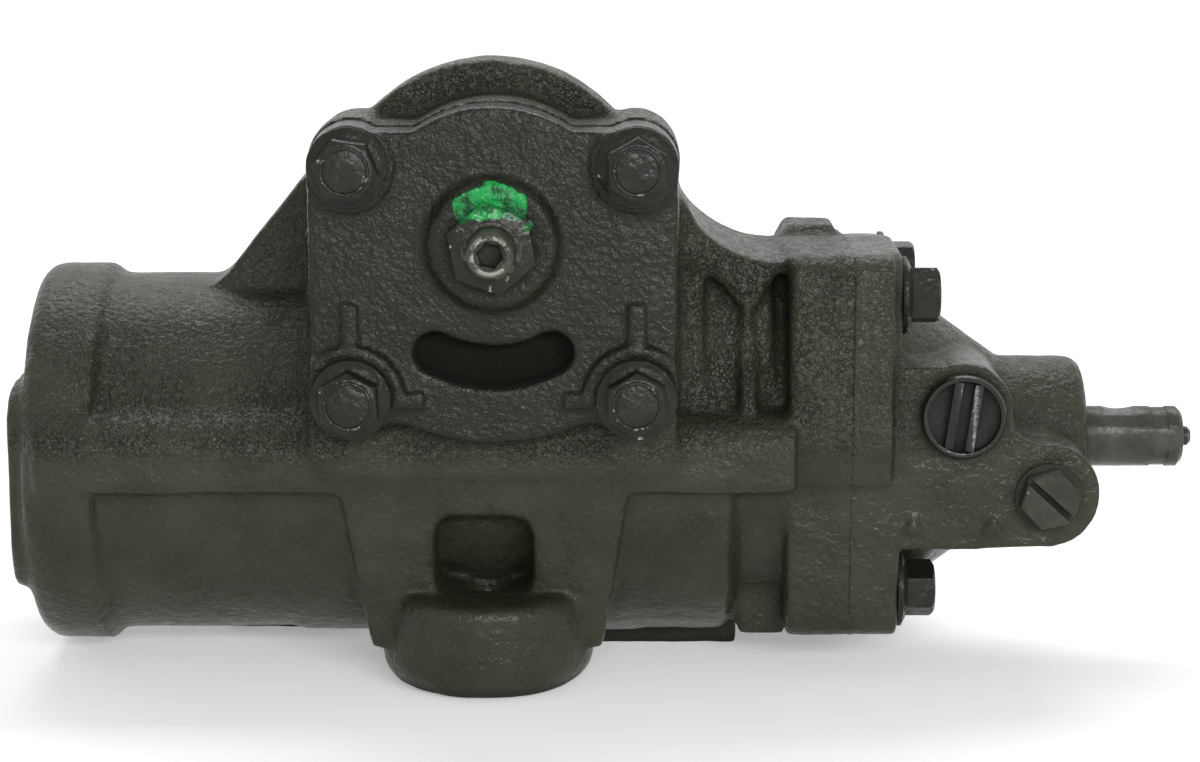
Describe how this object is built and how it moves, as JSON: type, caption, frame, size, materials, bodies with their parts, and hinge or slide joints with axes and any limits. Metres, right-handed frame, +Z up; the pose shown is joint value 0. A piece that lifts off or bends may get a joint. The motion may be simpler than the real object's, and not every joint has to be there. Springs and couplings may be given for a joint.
{
  "type": "power steering gearbox",
  "caption": "Cast recirculating-ball power steering gearbox with a sector shaft, rack piston, worm and rotary valve, an adjuster cover and tapped mounting feet.",
  "frame": {"origin": "centre of the front mounting hole's mouth, on the mounting plane", "axes": "+X along the worm towards the input shaft, +Y along the sector shaft from its adjuster towards its arm end, +Z up away from the mounting plane"},
  "size_m": [0.3789, 0.2578, 0.197],
  "materials": {
    "cast_black": "black paint over rough casting",
    "painted_fastener": "black paint",
    "painted_steel": "black paint worn at the edges",
    "gasket": "pressed sheet",
    "bronze": "machined",
    "brass_seat": "machined",
    "cap_plastic": "moulded",
    "rubber": "moulded",
    "ptfe": "filled, turned",
    "hard_steel": "ground",
    "plain_steel": "turned",
    "forged_steel": "ground and cut",
    "shaft_steel": "black paint over turned steel"
  },
  "bodies": {
    "casing": {"main_housing": "cast_black", "sector_cover": "cast_black", "cover_gasket": "gasket", "cover_bolts": "painted_fastener", "cover_bush": "bronze", "adjuster_screw": "painted_steel", "adjuster_lock_nut": "painted_fastener", "valve_housing": "cast_black", "valve_housing_seal": "rubber", "valve_housing_bolts": "painted_fastener", "pressure_port_cap": "cap_plastic", "return_port_plug": "painted_steel", "port_seats": "brass_seat", "worm_bearing_outer_race": "hard_steel", "worm_bearing_balls": "hard_steel", "worm_bearing_nut": "plain_steel", "input_bearing_shell": "hard_steel", "input_bearing_needles": "hard_steel", "input_seal": "rubber", "input_snap_ring": "plain_steel", "input_dust_seal": "rubber", "sector_bearing_shell": "hard_steel", "sector_bearing_needles": "hard_steel", "sector_seal": "rubber", "sector_seal_washer": "plain_steel", "sector_dust_seal": "rubber", "sector_snap_ring": "plain_steel"},
    "sector": {"sector_shaft": "forged_steel", "adjuster_retainer": "plain_steel"},
    "rack": {"rack_piston": "forged_steel", "piston_ring": "ptfe", "piston_ring_expander": "rubber", "piston_end_plug": "plain_steel", "recirculating_balls": "hard_steel", "ball_return_guide": "plain_steel", "ball_guide_clamp": "plain_steel", "ball_guide_screws": "plain_steel"},
    "worm": {"worm_shaft": "forged_steel", "worm_bearing_inner_race": "hard_steel", "valve_sleeve": "forged_steel", "valve_sleeve_rings": "ptfe", "sleeve_drive_pin": "hard_steel"},
    "input": {"input_shaft": "shaft_steel", "torsion_bar": "shaft_steel", "torsion_bar_pin": "hard_steel"}
  },
  "joints": [
    {"name": "sector_swing", "type": "hinge", "parent": "casing", "child": "sector", "pos_m": [0.0035, 0.042, 0.145], "axis": [0, 1, 0], "range_deg": [-40, 40]},
    {"name": "rack_slide", "type": "slide", "parent": "casing", "child": "rack", "axis": [1, 0, 0], "range_m": [-0.028, 0.028]},
    {"name": "worm_spin", "type": "hinge", "parent": "casing", "child": "worm", "pos_m": [0.0035, 0.042, 0.07], "axis": [1, 0, 0], "range_deg": [-719, 719]},
    {"name": "valve_twist", "type": "hinge", "parent": "worm", "child": "input", "pos_m": [0.0035, 0.042, 0.07], "axis": [1, 0, 0], "range_deg": [-4, 4], "stiffness_Nm_per_rad": 65}
  ],
  "couplings": [
    {"joint": "rack_slide", "follows": "sector_swing", "m_per_rad": -0.04},
    {"joint": "worm_spin", "follows": "sector_swing", "ratio": 17.952}
  ]
}
